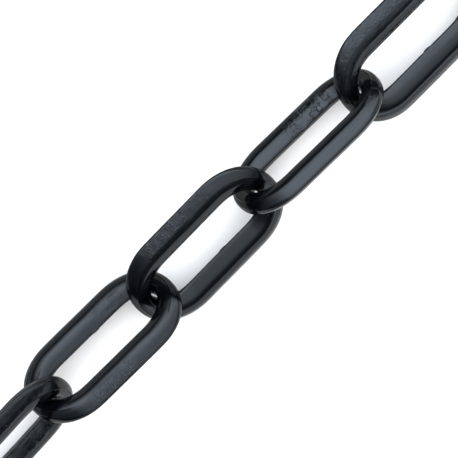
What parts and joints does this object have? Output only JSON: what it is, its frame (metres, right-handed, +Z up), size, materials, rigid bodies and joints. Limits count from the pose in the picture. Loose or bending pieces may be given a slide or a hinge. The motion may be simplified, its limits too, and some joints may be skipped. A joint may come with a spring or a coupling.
{
  "type": "plastic chain",
  "caption": "Length of black plastic long-link chain lying straight; oval links lean to alternate sides and swing about each other's end bows.",
  "frame": {"origin": "middle of the underside, on the floor halfway along the chain", "axes": "+X along the chain, +Z up, +Y across it"},
  "size_m": [1.035, 0.0336, 0.0362],
  "materials": {
    "link_01": "semi-gloss moulded black",
    "link_02": "semi-gloss moulded black",
    "link_03": "semi-gloss moulded black",
    "link_04": "semi-gloss moulded black",
    "link_05": "semi-gloss moulded black",
    "link_06": "semi-gloss moulded black",
    "link_07": "semi-gloss moulded black",
    "link_08": "semi-gloss moulded black",
    "link_09": "semi-gloss moulded black",
    "link_10": "semi-gloss moulded black",
    "link_11": "semi-gloss moulded black",
    "link_12": "semi-gloss moulded black",
    "link_13": "semi-gloss moulded black",
    "link_14": "semi-gloss moulded black",
    "link_15": "semi-gloss moulded black",
    "link_16": "semi-gloss moulded black",
    "link_17": "semi-gloss moulded black",
    "link_18": "semi-gloss moulded black",
    "link_19": "semi-gloss moulded black",
    "link_20": "semi-gloss moulded black"
  },
  "bodies": {
    "link_01": {"link_01": "link_01"},
    "link_02": {"link_02": "link_02"},
    "link_03": {"link_03": "link_03"},
    "link_04": {"link_04": "link_04"},
    "link_05": {"link_05": "link_05"},
    "link_06": {"link_06": "link_06"},
    "link_07": {"link_07": "link_07"},
    "link_08": {"link_08": "link_08"},
    "link_09": {"link_09": "link_09"},
    "link_10": {"link_10": "link_10"},
    "link_11": {"link_11": "link_11"},
    "link_12": {"link_12": "link_12"},
    "link_13": {"link_13": "link_13"},
    "link_14": {"link_14": "link_14"},
    "link_15": {"link_15": "link_15"},
    "link_16": {"link_16": "link_16"},
    "link_17": {"link_17": "link_17"},
    "link_18": {"link_18": "link_18"},
    "link_19": {"link_19": "link_19"},
    "link_20": {"link_20": "link_20"}
  },
  "joints": [
    {"name": "swing_02", "type": "hinge", "parent": "link_01", "child": "link_02", "pos_m": [-0.45421, -0.0012, 0.01378], "axis": [0, 0.7071, -0.7071], "range_deg": [-70, 70]},
    {"name": "swing_03", "type": "hinge", "parent": "link_02", "child": "link_03", "pos_m": [-0.40321, -0.0012, 0.01378], "axis": [0, -0.7071, -0.7071], "range_deg": [-70, 70]},
    {"name": "swing_04", "type": "hinge", "parent": "link_03", "child": "link_04", "pos_m": [-0.35221, -0.0012, 0.01378], "axis": [0, -0.7071, 0.7071], "range_deg": [-70, 70]},
    {"name": "swing_05", "type": "hinge", "parent": "link_04", "child": "link_05", "pos_m": [-0.30121, -0.0012, 0.01378], "axis": [0, 0.7071, 0.7071], "range_deg": [-70, 70]},
    {"name": "swing_06", "type": "hinge", "parent": "link_05", "child": "link_06", "pos_m": [-0.25021, -0.0012, 0.01378], "axis": [0, 0.7071, -0.7071], "range_deg": [-70, 70]},
    {"name": "swing_07", "type": "hinge", "parent": "link_06", "child": "link_07", "pos_m": [-0.19921, -0.0012, 0.01378], "axis": [0, -0.7071, -0.7071], "range_deg": [-70, 70]},
    {"name": "swing_08", "type": "hinge", "parent": "link_07", "child": "link_08", "pos_m": [-0.14821, -0.0012, 0.01378], "axis": [0, -0.7071, 0.7071], "range_deg": [-70, 70]},
    {"name": "swing_09", "type": "hinge", "parent": "link_08", "child": "link_09", "pos_m": [-0.09721, -0.0012, 0.01378], "axis": [0, 0.7071, 0.7071], "range_deg": [-70, 70]},
    {"name": "swing_10", "type": "hinge", "parent": "link_09", "child": "link_10", "pos_m": [-0.04621, -0.0012, 0.01378], "axis": [0, 0.7071, -0.7071], "range_deg": [-70, 70]},
    {"name": "swing_11", "type": "hinge", "parent": "link_10", "child": "link_11", "pos_m": [0.00479, -0.0012, 0.01378], "axis": [0, -0.7071, -0.7071], "range_deg": [-70, 70]},
    {"name": "swing_12", "type": "hinge", "parent": "link_11", "child": "link_12", "pos_m": [0.05579, -0.0012, 0.01378], "axis": [0, -0.7071, 0.7071], "range_deg": [-70, 70]},
    {"name": "swing_13", "type": "hinge", "parent": "link_12", "child": "link_13", "pos_m": [0.10679, -0.0012, 0.01378], "axis": [0, 0.7071, 0.7071], "range_deg": [-70, 70]},
    {"name": "swing_14", "type": "hinge", "parent": "link_13", "child": "link_14", "pos_m": [0.15779, -0.0012, 0.01378], "axis": [0, 0.7071, -0.7071], "range_deg": [-70, 70]},
    {"name": "swing_15", "type": "hinge", "parent": "link_14", "child": "link_15", "pos_m": [0.20879, -0.0012, 0.01378], "axis": [0.031, -0.7074, -0.7061], "range_deg": [-70, 70]},
    {"name": "swing_16", "type": "hinge", "parent": "link_15", "child": "link_16", "pos_m": [0.25959, -0.0012, 0.01846], "axis": [-0.0094, -0.8289, 0.5593], "range_deg": [-70, 70]},
    {"name": "swing_17", "type": "hinge", "parent": "link_16", "child": "link_17", "pos_m": [0.31055, 0.0012, 0.01811], "axis": [0.0359, 0.5558, 0.8306], "range_deg": [-70, 70]},
    {"name": "swing_18", "type": "hinge", "parent": "link_17", "child": "link_18", "pos_m": [0.36122, 0.00035, 0.01205], "axis": [-0.0035, 0.6999, -0.7142], "range_deg": [-70, 70]},
    {"name": "swing_19", "type": "hinge", "parent": "link_18", "child": "link_19", "pos_m": [0.41203, 0.00098, 0.01727], "axis": [0.0245, -0.8041, -0.594], "range_deg": [-70, 70]},
    {"name": "swing_20", "type": "hinge", "parent": "link_19", "child": "link_20", "pos_m": [0.46304, -0.00012, 0.01696], "axis": [0.0481, -0.5381, 0.8415], "range_deg": [-70, 70]}
  ]
}
